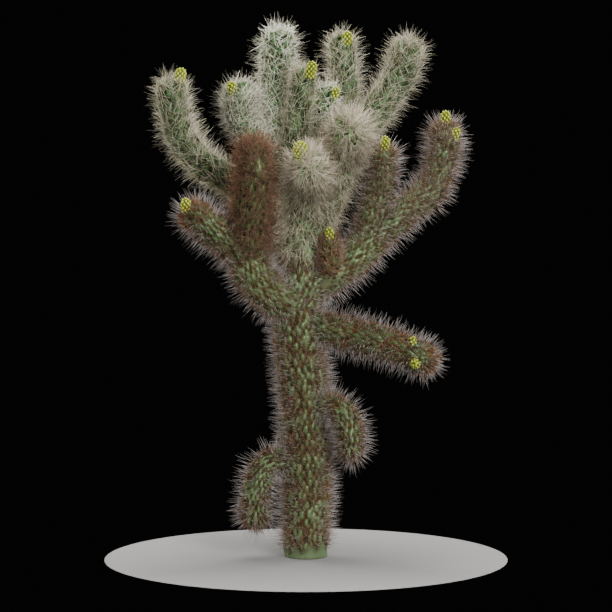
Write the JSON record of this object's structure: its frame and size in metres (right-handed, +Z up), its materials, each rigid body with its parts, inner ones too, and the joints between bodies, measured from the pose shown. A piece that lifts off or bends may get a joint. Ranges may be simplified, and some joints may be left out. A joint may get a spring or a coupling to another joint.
{
  "type": "cholla cactus",
  "caption": "Branching cholla cactus: upright trunk cut flat at the ground, hooked lower arms and a crown of upcurved arms, all clad in tubercles and spines, with young buds",
  "frame": {"origin": "centre of the flat cut under the trunk, at ground level", "axes": "+Z up the trunk, +X to the right and -Y towards the viewer, as the plant is seen from its front"},
  "size_m": [0.6425, 0.4422, 1.0874],
  "materials": {
    "trunk": "matte",
    "green_arms": "matte",
    "straw_arms": "matte",
    "tan_arms": "matte",
    "russet_arm": "matte"
  },
  "bodies": {
    "root": {"trunk": "trunk", "lower_left_arm_base": "green_arms", "lower_left_arm_end": "green_arms", "lower_right_arm_base": "green_arms", "lower_right_arm_end": "green_arms", "back_low_arm": "green_arms", "mid_right_arm": "green_arms", "back_left_arm": "green_arms", "left_limb": "green_arms", "left_low_arm": "green_arms", "left_front_arm": "russet_arm", "right_limb": "green_arms", "right_outer_arm_base": "green_arms", "right_outer_arm_end": "green_arms", "right_inner_arm": "green_arms", "right_small_arm": "green_arms", "leader": "straw_arms", "leader_left_arm": "straw_arms", "leader_front_arm": "straw_arms", "back_high_arm": "straw_arms", "back_right_arm": "straw_arms", "far_left_arm_base": "straw_arms", "far_left_arm_end": "straw_arms", "back_right_limb": "straw_arms", "top_inner_arm": "straw_arms", "top_outer_arm": "straw_arms", "small_inner_arm": "straw_arms", "centre_right_arm": "tan_arms", "front_arm": "tan_arms"}
  },
  "joints": []
}
